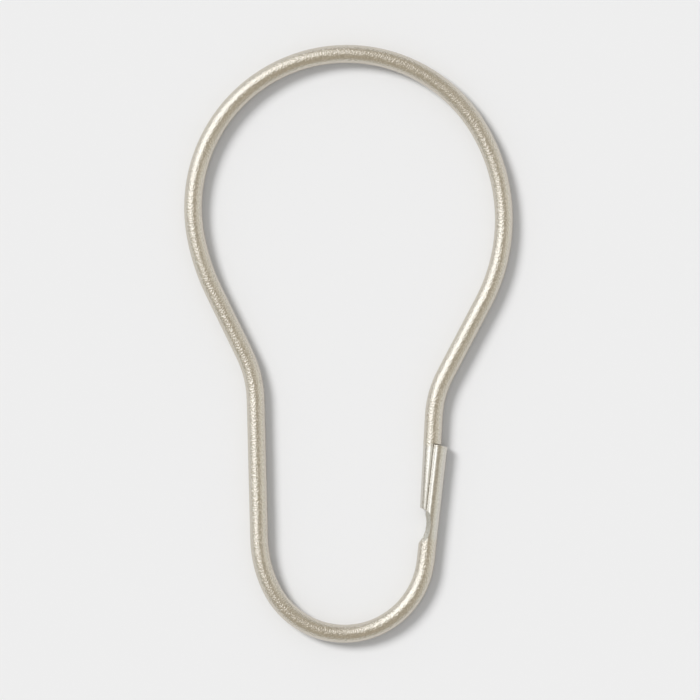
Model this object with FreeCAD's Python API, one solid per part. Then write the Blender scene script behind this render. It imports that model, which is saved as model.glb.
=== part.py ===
"""A curtain hook: a pear-shaped ring bent from one length of spring wire.

The wide loop at the top rides on the curtain rod and the narrow foot carries the curtain's
eyelet. The wire's two ends lie side by side in the right-hand leg and snap together there:
their inner faces are coined, the upper end has a tongue and the lower end a head and a neck.

Frame, in millimetres: the ring lies flat, its wire's middle plane at Z = 0. The origin is the
centre of the rod loop, and +Y runs from the foot towards the top of the loop. Bend angles and
leans are in degrees.
"""
import FreeCAD, Part
import math
import os

from FreeCAD import Placement, Rotation, Vector

# Wire
wire_d = 2.4

# Rod loop, the large round part that rides on the rod
rod_loop_bore = 38.2
left_loop_turn = 100.0
right_loop_turn = 59.0

# Flanks, which run in from the loop to the knees, each behind a wider shoulder bend
left_shoulder_r = 28.65
left_flank_lean = 26.0
left_flank = 9.15
right_shoulder_r = 23.35
right_flank_lean = 27.8
right_flank = 10.85

# Knees and legs
left_knee_r = 14.5
left_leg_lean = 1.4
right_knee_r = 13.25
upper_arm_lean = 3.1
upper_arm_run = 2.5

# Foot, the small round part that carries the eyelet
foot_corner_r = 16.0
foot_corner_turn = 23.4
lower_arm_lean = 6.45
lower_arm_run = 1.1

# Lap, where the two arms lie side by side
arm_offset = 0.845
lap_gap = 0.03
shoulder_slant = 6.0
shoulder_gap = 0.05
edge_break = 0.1

# Tongue, the coined end of the upper arm. Its bevel runs down to the flat inner face, by a drop below
# the wire's top; bevels are counted from the upright
tongue_length = 9.0
tongue_bevel_drop = 0.2
tongue_bevel = 58.0
tip_slant = 17.0

# Head, the coined end of the lower arm. Its inner side is a smaller round, which starts at an angle
# from the wire's top that is counted outwards, and then a bevel down to the flat inner face
head_coin_depth = 0.48
head_bevel = 57.0
head_round_r = 0.5
head_round_start = -7.0

# Neck, the hollow below the head that frees the tongue's tip
neck_reach = 10.8
neck_coin_depth = 0.74
neck_r = 4.2
neck_face_height = 1.34
neck_bevel = 48.0

# Sizes that follow from the ones above
wire_r = wire_d / 2
loop_r = rod_loop_bore / 2 + wire_r
head_face = wire_r - head_coin_depth
tongue_face = head_face + lap_gap
neck_face = wire_r - neck_coin_depth
neck_half_length = math.sqrt(neck_r ** 2 - (neck_r - neck_coin_depth) ** 2)
coin_lead = wire_r
coined_length = neck_reach + neck_half_length + coin_lead
tool_half_height = 2 * wire_r
tool_width = 4 * wire_d
lower_arm_heading = 450 - lower_arm_lean


def along(heading):
    """Unit vector in the plane of the ring, its heading counted from +X towards +Y."""
    angle = math.radians(heading)
    return Vector(math.cos(angle), math.sin(angle), 0)


class Bender:
    """The wire's middle line, laid out as a bender makes it: fed straight or bent round a former."""

    def __init__(self, point, heading):
        self.point = point
        self.heading = heading
        self.edges = []

    def feed(self, length):
        end = self.point + along(self.heading) * length
        self.edges.append(Part.LineSegment(self.point, end).toShape())
        self.point = end

    def bend(self, radius, turn):
        """Bends to the left, or to the right for a negative turn."""
        inward = math.copysign(90, turn)
        centre = self.point + along(self.heading + inward) * radius
        middle = centre + along(self.heading + turn / 2 - inward) * radius
        end = centre + along(self.heading + turn - inward) * radius
        self.edges.append(Part.Arc(self.point, middle, end).toShape())
        self.point = end
        self.heading += turn

    def bend_to(self, radius, heading):
        self.bend(radius, heading - self.heading)


def right_side():
    """From the top of the loop down the right side to where the upper arm's coined end starts."""
    side = Bender(Vector(0, loop_r, 0), 0)
    side.bend(loop_r, -right_loop_turn)
    side.bend_to(right_shoulder_r, -90 - right_flank_lean)
    side.feed(right_flank)
    side.bend_to(right_knee_r, -90 - upper_arm_lean)
    side.feed(upper_arm_run)
    return side


def left_side():
    """From the top of the loop down the left side to the top of the straight leg."""
    side = Bender(Vector(0, loop_r, 0), 180)
    side.bend(loop_r, left_loop_turn)
    side.bend_to(left_shoulder_r, 270 + left_flank_lean)
    side.feed(left_flank)
    side.bend_to(left_knee_r, 270 + left_leg_lean)
    return side


def cross(a, b):
    """Cross product of two vectors in the plane of the ring."""
    return a.x * b.y - a.y * b.x


def close_foot(side, foot_end):
    """Runs the left leg and the foot on, as long and as wide as brings them round to foot_end.

    The foot is a wider bend at its first corner and then one main bend. The leg's length and the
    main bend's radius are the two unknowns of a closed chain of headings.
    """
    corner_heading = side.heading + foot_corner_turn
    leg = along(side.heading)
    corner = (along(side.heading + 90) - along(corner_heading + 90)) * foot_corner_r
    foot = along(corner_heading + 90) - along(lower_arm_heading + 90)
    span = foot_end - side.point - corner
    side.feed(cross(span, foot) / cross(leg, foot))
    side.bend(foot_corner_r, foot_corner_turn)
    side.bend_to(cross(leg, span) / cross(leg, foot), lower_arm_heading)


def round_wire(edges):
    """Full round wire along a run of tangent edges."""
    path = Part.Wire(Part.__sortEdges__(edges))
    first = path.OrderedEdges[0]
    start = path.OrderedVertexes[0].Point
    section = Part.makeCircle(wire_r, start, first.tangentAt(first.FirstParameter))
    return path.makePipe(Part.Face(Part.Wire(section)))


def prism(outline, start, length):
    """A straight bar in the lap's frame: an outline of (across, up) points, run along the lap."""
    points = [Vector(across, start, up) for across, up in outline]
    return Part.Face(Part.makePolygon(points + points[:1])).extrude(Vector(0, length, 0))


def past(reach, slant, ahead):
    """All that lies ahead of or behind a slanted end face, at its reach along the lap's axis."""
    block = Part.makeBox(2 * tool_width, tool_width, 2 * tool_half_height)
    block.translate(Vector(-tool_width, 0 if ahead else -tool_width, -tool_half_height))
    block.Placement = Placement(Vector(0, reach, 0), Rotation(Vector(0, 0, 1), -slant)) * block.Placement
    return block


def mirrored(outline):
    """An outline's upper half, given from its inner side outwards, closed by its mirror image."""
    return outline + [(across, -up) for across, up in reversed(outline)]


def head_section():
    """The head across the lap before its inner face is coined: round, with a bevelled inner side."""
    start = math.radians(head_round_start)
    bevel = math.radians(head_bevel)
    leave_dir = Vector(math.sin(start), 0, math.cos(start))
    meet_dir = Vector(-math.cos(bevel), 0, math.sin(bevel))
    round_at = leave_dir * (wire_r - head_round_r)
    leave = leave_dir * wire_r
    middle = round_at + (leave_dir + meet_dir).normalize() * head_round_r
    meet = round_at + meet_dir * head_round_r
    ridge = Vector(meet.x - meet.z * math.tan(bevel), 0, 0)

    def below(point):
        return Vector(point.x, 0, -point.z)

    edges = [
        Part.Arc(leave, Vector(wire_r, 0, 0), below(leave)).toShape(),
        Part.Arc(below(leave), below(middle), below(meet)).toShape(),
        Part.LineSegment(below(meet), ridge).toShape(),
        Part.LineSegment(ridge, meet).toShape(),
        Part.Arc(meet, middle, leave).toShape(),
    ]
    return Part.Face(Part.Wire(edges))


def soften(body, reach, slant):
    """Breaks the round edges of a slanted end face, as the coining and the plating leave them."""
    square = Vector(math.sin(math.radians(slant)), math.cos(math.radians(slant)), 0)

    def on_face(edge):
        return all(abs((vertex.Point - Vector(0, reach, 0)).dot(square)) < 1e-6 for vertex in edge.Vertexes)

    rim = [edge for edge in body.Edges if on_face(edge) and not isinstance(edge.Curve, Part.Line)]
    return body.makeFillet(edge_break, rim)


def neck_die():
    """The rounded die that presses the neck: a disc whose rim flares above and below its flat."""
    half_face = neck_face_height / 2
    flare = (tool_half_height - half_face) * math.tan(math.radians(neck_bevel))
    rim = mirrored([(0, tool_half_height), (neck_r + flare, tool_half_height), (neck_r, half_face)])
    points = [Vector(radius, 0, up) for radius, up in rim]
    disc = Part.Face(Part.makePolygon(points + points[:1])).revolve(Vector(0, 0, 0), Vector(0, 0, 1), 360)
    disc.translate(Vector(-neck_face - neck_r, -neck_reach, 0))
    return disc


def lower_end():
    """The lower arm's coined end, in the lap's frame: round wire, the neck, then the head."""
    lap_axis = Vector(0, 1, 0)
    bar = Part.makeCylinder(wire_r, coined_length - neck_reach, lap_axis * -coined_length, lap_axis)
    head = head_section().extrude(lap_axis * (neck_reach + wire_r))
    head.translate(lap_axis * -neck_reach)
    face_die = Part.makeBox(tool_width, neck_reach + wire_r, 2 * tool_half_height)
    face_die.translate(Vector(-head_face - tool_width, -neck_reach, -tool_half_height))
    head = head.cut([face_die, past(-shoulder_gap / 2, shoulder_slant, True)])
    head = soften(head, -shoulder_gap / 2, shoulder_slant)
    return bar.fuse(head).cut(neck_die())


def tongue_tool():
    """What the coining takes off the upper arm, in the lap's frame, and what lies past its tip."""
    half_face = wire_r - tongue_bevel_drop
    lean = (tool_half_height - half_face) * math.tan(math.radians(tongue_bevel))
    beside_head = [
        (tool_width, tool_half_height),
        (-tongue_face - lean, tool_half_height),
        (-tongue_face, half_face),
    ]
    tool = prism(mirrored(beside_head), -tongue_length - wire_d, tongue_length + 2 * wire_d)
    tool = tool.cut(past(shoulder_gap / 2, shoulder_slant, True))
    return tool.fuse(past(-tongue_length, tip_slant, False))


def upper_end():
    """The upper arm's coined end, in the lap's frame: round wire, the shoulder, then the tongue."""
    down = along(lower_arm_lean - upper_arm_lean - 90)
    start = Vector(-arm_offset, 0, 0) - down * coin_lead
    bar = Part.makeCylinder(wire_r, coin_lead + tongue_length + wire_r, start, down)
    tongue = bar.cut(tongue_tool())
    tongue = soften(tongue, shoulder_gap / 2, shoulder_slant)
    return soften(tongue, -tongue_length, tip_slant)


def hook():
    """The whole ring as one solid: the bent round wire with a coined end on each arm."""
    right = right_side()
    shoulder = right.point + along(right.heading) * coin_lead
    up = along(lower_arm_heading)
    lap = Placement(shoulder + along(lower_arm_heading - 90) * arm_offset,
                    Rotation(Vector(0, 0, 1), lower_arm_heading - 450))
    left = left_side()
    close_foot(left, lap.Base - up * (coined_length + lower_arm_run))
    left.feed(lower_arm_run)

    coined_ends = [upper_end(), lower_end()]
    for coined_end in coined_ends:
        coined_end.Placement = lap * coined_end.Placement
    return round_wire(right.edges + left.edges).fuse(coined_ends).removeSplitter()


os.makedirs("parts", exist_ok=True)
hook_wire = hook()
hook_wire.exportStep("parts/hook_wire.step")
print("solids", len(hook_wire.Solids), "valid", hook_wire.isValid(), "volume", round(hook_wire.Volume, 1))
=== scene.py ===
"""The look of a satin-nickel curtain hook, flat on a pale table and seen from straight above."""

import math

import bpy
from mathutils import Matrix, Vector


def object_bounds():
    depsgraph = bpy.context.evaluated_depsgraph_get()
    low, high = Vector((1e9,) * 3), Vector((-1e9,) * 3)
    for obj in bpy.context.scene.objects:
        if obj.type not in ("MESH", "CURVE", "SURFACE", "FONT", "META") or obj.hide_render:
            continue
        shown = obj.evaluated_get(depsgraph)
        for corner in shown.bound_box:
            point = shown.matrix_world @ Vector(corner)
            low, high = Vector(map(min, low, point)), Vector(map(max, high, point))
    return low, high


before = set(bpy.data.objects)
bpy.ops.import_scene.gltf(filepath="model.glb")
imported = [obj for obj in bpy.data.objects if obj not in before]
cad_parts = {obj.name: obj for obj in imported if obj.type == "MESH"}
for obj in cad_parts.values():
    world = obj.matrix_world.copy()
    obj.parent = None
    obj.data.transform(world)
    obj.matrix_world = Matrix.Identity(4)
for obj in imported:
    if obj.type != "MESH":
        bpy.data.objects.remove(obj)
cad_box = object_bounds()

# Lengths in metres, angles in degrees
MM = 0.001

# The photograph's frame: how wide a stretch it shows, the point at its middle and its turn about it
FRAME_WIDTH = 92.42 * MM
FRAME_CENTRE = Vector((0.395 * MM, -18.79 * MM))
FRAME_TURN = -0.03
CAMERA_HEIGHT = 0.9
CAMERA_NEAREST = 0.01
SENSOR_WIDTH = 36.0

# The lamp that casts the shadow: its bearing is counted from +X towards +Y
KEY_BEARING = 144.0
KEY_ELEVATION = 46.0
KEY_SPREAD = 22.0
KEY_STRENGTH = 2.22

# The sky that dull surfaces are lit by, and the backdrop that the camera sees behind the table
SKY = (0.5, 0.5, 0.5)
BACKDROP = (0.852, 0.852, 0.852)

# The room that the metal mirrors: warm walls, and before them a cool haze all round near the floor,
# a softbox at the upper left and a white card on the right. The haze thins from its foot to its top,
# both as sines of the elevation. The other two are full out to a core angle and end at a rim angle
WALLS = (0.525, 0.491, 0.417)
HAZE = (0.15, 0.2, 0.26)
HAZE_TOP, HAZE_FOOT = 0.5, 0.1
SOFTBOX = (1.28, 1.37, 1.52)
SOFTBOX_BEARING, SOFTBOX_ELEVATION = 147.0, 47.0
SOFTBOX_CORE, SOFTBOX_RIM = 10.0, 44.0
CARD = (0.31, 0.34, 0.37)
CARD_BEARING, CARD_ELEVATION = 5.0, 30.0
CARD_CORE, CARD_RIM = 10.0, 38.0

# Table top
TABLE_WIDTH = 8.0
TABLE_COLOUR = (0.852, 0.852, 0.852, 1.0)
TABLE_ROUGHNESS = 0.9
TABLE_GLOSS = 0.2

# Satin nickel
NICKEL = (0.66, 0.61, 0.53)
GRAIN = 0.21 * MM
GRAIN_DEPTH = 0.065 * MM
GRAIN_TONE = 0.16
GRAIN_DETAIL = 1.0
CLOUD = 1.1 * MM
CLOUD_DETAIL = 2.0
ROUGHNESS = 0.18
ROUGHNESS_SWING = 0.06

# The lap in the right-hand leg, where coining has pressed the plate smoother and has
# left only a share of the grain's height. Its lighter, cooler colour is painted sheen for the
# brighter shine of the smoother faces
LAP_TOP = -31.0 * MM
LAP_FOOT = -44.2 * MM
LAP_INNER_SIDE = 5.0 * MM
LAP_FADE = 0.8 * MM
# Lap colour: the nickel made lighter and cooler, a painted sheen standing in for the brighter shine
# of the coined faces
COINED_NICKEL_PAINTED_SHEEN = (0.665, 0.632, 0.573)
COINED_GRAIN = 0.35
COINED_SMOOTHER = 0.06


def direction(bearing, elevation):
    """Unit vector towards a bearing and a height above the horizon."""
    bearing, elevation = math.radians(bearing), math.radians(elevation)
    level = math.cos(elevation)
    return Vector((math.cos(bearing) * level, math.sin(bearing) * level, math.sin(elevation)))


class Value:
    """A socket that takes part in arithmetic: each operation adds its Math node."""

    def __init__(self, finish, socket):
        self.finish = finish
        self.socket = socket

    def maths(self, operation, first, second):
        return self.finish.node("ShaderNodeMath", {"operation": operation}, {0: first, 1: second})

    def __add__(self, other):
        return self.maths("ADD", self, other)

    def __sub__(self, other):
        return self.maths("SUBTRACT", self, other)

    def __rsub__(self, other):
        return self.maths("SUBTRACT", other, self)

    def __mul__(self, other):
        return self.maths("MULTIPLY", self, other)

    __radd__ = __add__
    __rmul__ = __mul__


class Finish:
    """A node tree under construction, with the shader that it ends in."""

    def __init__(self, tree, shader):
        self.nodes = tree.nodes
        self.links = tree.links
        self.shader = tree.nodes[shader]

    def feed(self, node, inputs):
        for place, given in inputs.items():
            if isinstance(given, Value):
                self.links.new(given.socket, node.inputs[place])
            else:
                node.inputs[place].default_value = given

    def node(self, kind, settings, inputs, output=0):
        """Adds a node: its settings first, then its sockets by name or by place."""
        made = self.nodes.new(kind)
        for setting, given in settings.items():
            setattr(made, setting, given)
        self.feed(made, inputs)
        return Value(self, made.outputs[output])

    def surface(self, inputs):
        self.feed(self.shader, inputs)

    def place(self, kind):
        return self.node("ShaderNodeTexCoord", {}, {}, output=kind)

    def noise(self, place, grain, detail):
        """Soft noise from 0 to 1 with grains of a size in metres."""
        inputs = {"Vector": place, "Scale": 1 / grain, "Detail": detail}
        return self.node("ShaderNodeTexNoise", {}, inputs)

    def between(self, value, low, high):
        """Runs smoothly from 0 at low to 1 at high."""
        settings = {"interpolation_type": "SMOOTHSTEP"}
        inputs = {"Value": value, "From Min": low, "From Max": high}
        return self.node("ShaderNodeMapRange", settings, inputs)

    def blend(self, amount, first, second, how="MIX"):
        """Mixes two colours, or adds the second where how is ADD."""
        first, second = [
            part if isinstance(part, Value) else (*part, 1.0) for part in (first, second)
        ]
        settings = {"data_type": "RGBA", "blend_type": how}
        inputs = {0: amount, 6: first, 7: second}
        return self.node("ShaderNodeMix", settings, inputs, output=2)

    def dim(self, colour, amount):
        """A colour times a value."""
        inputs = {0: colour, "Scale": amount}
        return self.node("ShaderNodeVectorMath", {"operation": "SCALE"}, inputs)

    def glow(self, place, towards, core, rim):
        """A round patch of the room: 1 within its core angle, 0 outside its rim angle."""
        settings = {"operation": "DOT_PRODUCT"}
        inputs = {0: place, 1: towards}
        facing = self.node("ShaderNodeVectorMath", settings, inputs, output="Value")
        return self.between(facing, math.cos(math.radians(rim)), math.cos(math.radians(core)))


def new_finish(name):
    material = bpy.data.materials.new(name)
    material.use_nodes = True
    return material, Finish(material.node_tree, "Principled BSDF")


def coined_stretch(nickel, place):
    """1 on the lapped ends of the wire, 0 elsewhere."""
    across, along = [
        nickel.node("ShaderNodeSeparateXYZ", {}, {0: place}, output=axis) for axis in "XY"
    ]
    right_leg = nickel.between(across, LAP_INNER_SIDE, LAP_INNER_SIDE + LAP_FADE)
    above_foot = nickel.between(along, LAP_FOOT, LAP_FOOT + LAP_FADE)
    below_top = 1 - nickel.between(along, LAP_TOP - LAP_FADE, LAP_TOP)
    return right_leg * above_foot * below_top


def satin_nickel():
    """Nickel plate over blasted wire: warm, softly shining, with a fine even grain, and a lighter
    painted sheen on the lap.
    """
    material, nickel = new_finish("satin_nickel_plate")
    place = nickel.place("Object")
    grain = nickel.noise(place, GRAIN, GRAIN_DETAIL)
    cloud = nickel.noise(place, CLOUD, CLOUD_DETAIL)
    coined = coined_stretch(nickel, place)
    height = grain * (1 - coined * (1 - COINED_GRAIN))
    # Painted sheen: the lap gets a lighter, cooler colour than the rest of the wire
    colour = nickel.blend(coined, NICKEL, COINED_NICKEL_PAINTED_SHEEN)
    tone = 1 - GRAIN_TONE + grain * (2 * GRAIN_TONE)
    nickel.surface({
        "Base Color": nickel.dim(colour, tone),
        "Metallic": 1.0,
        "Roughness": ROUGHNESS + cloud * ROUGHNESS_SWING - coined * COINED_SMOOTHER,
        "Normal": nickel.node("ShaderNodeBump", {}, {"Height": height, "Distance": GRAIN_DEPTH}),
    })
    return material


def table_top():
    """A matt pale table top."""
    material, table = new_finish("pale_table")
    table.surface({
        "Base Color": TABLE_COLOUR,
        "Roughness": TABLE_ROUGHNESS,
        "Specular IOR Level": TABLE_GLOSS,
    })
    return material


def lay_table(low):
    """The table under the ring, at the height of the wire's lowest line."""
    bpy.ops.mesh.primitive_plane_add(size=TABLE_WIDTH, location=(0, 0, low))
    table = bpy.context.object
    table.name = "table"
    table.data.materials.append(table_top())


def hang_key():
    """The lamp from the upper left. The metal mirrors the room's softbox in its place."""
    lamp = bpy.data.lights.new("key", "SUN")
    lamp.energy = KEY_STRENGTH
    lamp.angle = math.radians(KEY_SPREAD)
    key = bpy.data.objects.new("key", lamp)
    towards_key = direction(KEY_BEARING, KEY_ELEVATION)
    key.rotation_euler = towards_key.to_track_quat("Z", "Y").to_euler()
    key.visible_glossy = False
    bpy.context.collection.objects.link(key)


def build_room():
    """An even sky for dull surfaces, a room with a softbox for the metal, and a pale backdrop."""
    world = bpy.data.worlds.new("room")
    bpy.context.scene.world = world
    world.use_nodes = True
    room = Finish(world.node_tree, "Background")
    place = room.place("Generated")
    height = room.node("ShaderNodeSeparateXYZ", {}, {0: place}, output="Z")
    haze = 1 - room.between(height, HAZE_FOOT, HAZE_TOP)
    towards_softbox = direction(SOFTBOX_BEARING, SOFTBOX_ELEVATION)
    softbox = room.glow(place, towards_softbox, SOFTBOX_CORE, SOFTBOX_RIM)
    towards_card = direction(CARD_BEARING, CARD_ELEVATION)
    card = room.glow(place, towards_card, CARD_CORE, CARD_RIM)
    mirrored = WALLS
    for patch, light in ((haze, HAZE), (card, CARD), (softbox, SOFTBOX)):
        mirrored = room.blend(patch, mirrored, light, how="ADD")
    by_metal, by_camera = [
        room.node("ShaderNodeLightPath", {}, {}, output=ray)
        for ray in ("Is Glossy Ray", "Is Camera Ray")
    ]
    seen = room.blend(by_camera, SKY, BACKDROP)
    room.surface({"Color": room.blend(by_metal, seen, mirrored)})


def look_down():
    """The camera, straight above the middle of the photograph's frame."""
    camera = bpy.data.cameras.new("camera")
    camera.sensor_width = SENSOR_WIDTH
    camera.lens = SENSOR_WIDTH * CAMERA_HEIGHT / FRAME_WIDTH
    camera.clip_start = CAMERA_NEAREST
    holder = bpy.data.objects.new("camera", camera)
    holder.location = (*FRAME_CENTRE, CAMERA_HEIGHT)
    holder.rotation_euler.z = math.radians(FRAME_TURN)
    bpy.context.collection.objects.link(holder)
    bpy.context.scene.camera = holder


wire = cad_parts["hook_wire"]
wire.data.materials.clear()
wire.data.materials.append(satin_nickel())

lay_table(cad_box[0].z)
hang_key()
build_room()
look_down()
bpy.context.scene.view_settings.view_transform = "Standard"
